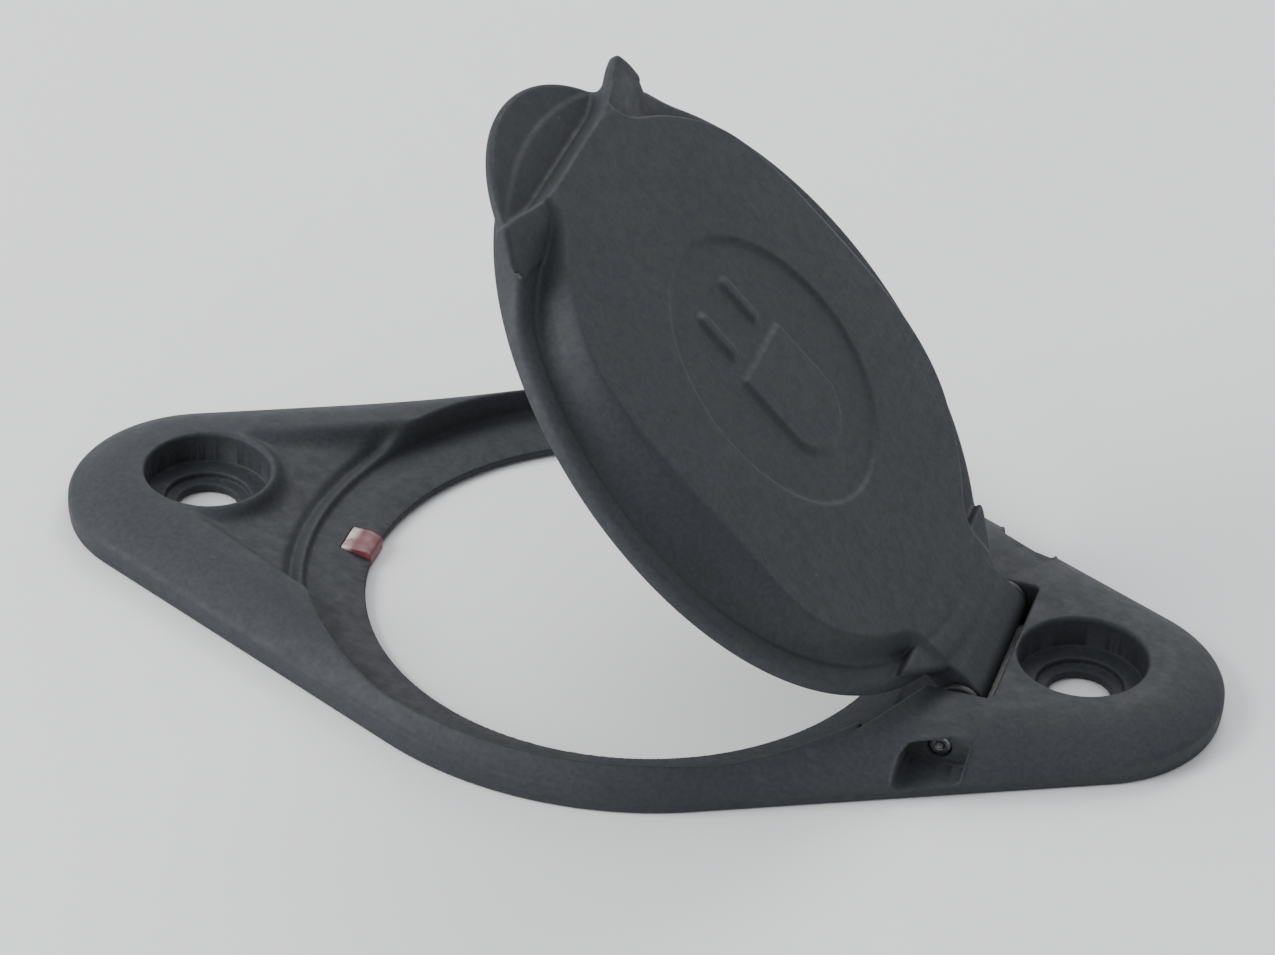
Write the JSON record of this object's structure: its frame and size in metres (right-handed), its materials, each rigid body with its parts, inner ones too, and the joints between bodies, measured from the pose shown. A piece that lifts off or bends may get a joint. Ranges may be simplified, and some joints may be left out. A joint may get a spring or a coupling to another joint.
{
  "type": "power inlet flip cover",
  "caption": "Two-hole diamond flange with a round opening and a hinged flip lid bearing a plug pictogram, for covering a recessed power inlet.",
  "frame": {"origin": "centre of the round opening, on the flange's rear face", "axes": "+Z out of the panel, +X along the flange's long axis towards the hinge, +Y across; the lid is stored open"},
  "size_m": [0.1022, 0.059, 0.0465],
  "materials": {
    "moulding": "fine matt moulded grain",
    "seal_rubber": "soft matt rubber",
    "pin_steel": "bright drawn steel",
    "washer_plastic": "dark acetal",
    "magnet_red": "dull red coat, worn to the plating at its edges"
  },
  "bodies": {
    "base": {"flange": "moulding", "hinge_pin": "pin_steel", "near_friction_washer": "washer_plastic", "far_friction_washer": "washer_plastic", "catch_magnet": "magnet_red", "panel_gasket": "seal_rubber"},
    "lid": {"lid": "moulding", "lid_seal": "seal_rubber", "lid_keeper": "pin_steel"}
  },
  "joints": [
    {"name": "lid_hinge", "type": "hinge", "parent": "base", "child": "lid", "pos_m": [0.0304, 0, 0.0027], "axis": [0, 1, 0], "range_deg": [-44, 60]}
  ]
}
